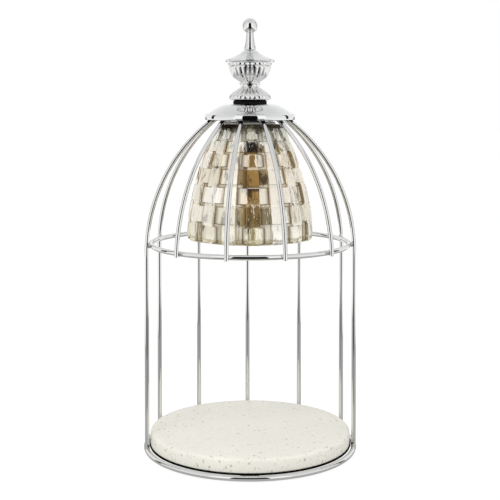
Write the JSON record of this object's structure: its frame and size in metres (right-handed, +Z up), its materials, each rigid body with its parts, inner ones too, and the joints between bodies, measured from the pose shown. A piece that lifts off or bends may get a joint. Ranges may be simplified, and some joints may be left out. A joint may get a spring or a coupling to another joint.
{
  "type": "candle warmer lamp",
  "caption": "Candle warmer lamp: chromed wire birdcage on a round stone base, with a downward reflector bulb in a woven-pattern plated glass bell and a screw-on urn finial.",
  "frame": {"origin": "centre of the base, in the plane that the rubber feet stand on", "axes": "+Z up along the lamp's axis to the finial, the open side of the cage faces -Y"},
  "size_m": [0.1684, 0.1684, 0.3413],
  "materials": {
    "chrome": "mirror-bright chrome plate on steel wire, sheet and turned pieces",
    "zinc_plated_steel": "zinc plated, satin",
    "brass": "plain brass, satin",
    "champagne_plated_glass": "pressed glass with a mirror-like champagne plating, opaque",
    "clear_glass": "clear",
    "reflector_coat": "vacuum-coated reflector",
    "speckled_stone": "honed, cream-white with fine grey-green specks",
    "black_rubber": "matt black",
    "white_ceramic": "unglazed white",
    "grey_foam": "soft grey foam",
    "white_sleeve": "heat-proof white moulding",
    "lead_silicone": "silicone jacket, off-white"
  },
  "bodies": {
    "cage": {"base_ring": "chrome", "mid_ring": "chrome", "leg_1": "chrome", "leg_2": "chrome", "leg_3": "chrome", "leg_4": "chrome", "leg_5": "chrome", "leg_6": "chrome", "leg_7": "chrome", "front_rib_1": "chrome", "front_rib_2": "chrome", "front_rib_3": "chrome", "front_rib_4": "chrome", "crown_plate": "zinc_plated_steel", "crown_nut_upper": "zinc_plated_steel", "crown_nut_lower": "zinc_plated_steel", "canopy_spacer": "zinc_plated_steel", "threaded_nipple": "zinc_plated_steel", "canopy": "chrome", "cable_bushing": "black_rubber", "holder_sleeve": "white_sleeve", "sleeve_nut": "zinc_plated_steel", "holder_ceramic": "white_ceramic", "holder_screw_front": "zinc_plated_steel", "holder_screw_rear": "zinc_plated_steel", "contact_left": "brass", "contact_right": "brass", "crimp_left": "brass", "crimp_right": "brass", "lead_left": "lead_silicone", "lead_right": "lead_silicone", "base_cross": "zinc_plated_steel", "rubber_foot_1": "black_rubber", "rubber_foot_2": "black_rubber", "rubber_foot_3": "black_rubber", "rubber_foot_4": "black_rubber", "stone_pad": "grey_foam", "stone_disc": "speckled_stone", "stone_insert": "brass", "base_screw": "zinc_plated_steel"},
    "shade": {"glass_shade": "champagne_plated_glass", "shade_washer": "grey_foam"},
    "shade_ring": {"shade_ring": "white_sleeve"},
    "gasket": {"finial_gasket": "black_rubber"},
    "finial": {"finial_foot": "chrome", "finial_bowl": "chrome", "finial_lid": "chrome", "finial_spindle": "chrome", "finial_stud": "zinc_plated_steel"},
    "bulb": {"bulb_base": "white_ceramic", "bulb_pin_left": "zinc_plated_steel", "bulb_pin_right": "zinc_plated_steel", "bulb_reflector": "reflector_coat", "bulb_capsule": "clear_glass", "bulb_lens": "clear_glass"}
  },
  "joints": [
    {"name": "finial_rise", "type": "slide", "parent": "cage", "child": "gasket", "axis": [0, 0, 1], "range_m": [0, 0.008]},
    {"name": "finial_turn", "type": "hinge", "parent": "gasket", "child": "finial", "pos_m": [0, 0, 0.2759], "axis": [0, 0, 1], "range_deg": [0, 2880]},
    {"name": "shade_drop", "type": "slide", "parent": "cage", "child": "shade", "axis": [0, 0, -1], "range_m": [0, 0.01]},
    {"name": "shade_ring_turn", "type": "hinge", "parent": "shade", "child": "shade_ring", "pos_m": [0, 0, 0.24996], "axis": [0, 0, -1], "range_deg": [0, 1800]},
    {"name": "bulb_twist", "type": "hinge", "parent": "cage", "child": "bulb", "pos_m": [0, 0, 0.23326], "axis": [0, 0, -1], "range_deg": [0, 20]}
  ],
  "couplings": [
    {"joint": "finial_turn", "follows": "finial_rise", "rad_per_m": 6283.2},
    {"joint": "shade_ring_turn", "follows": "shade_drop", "rad_per_m": 3141.6}
  ]
}
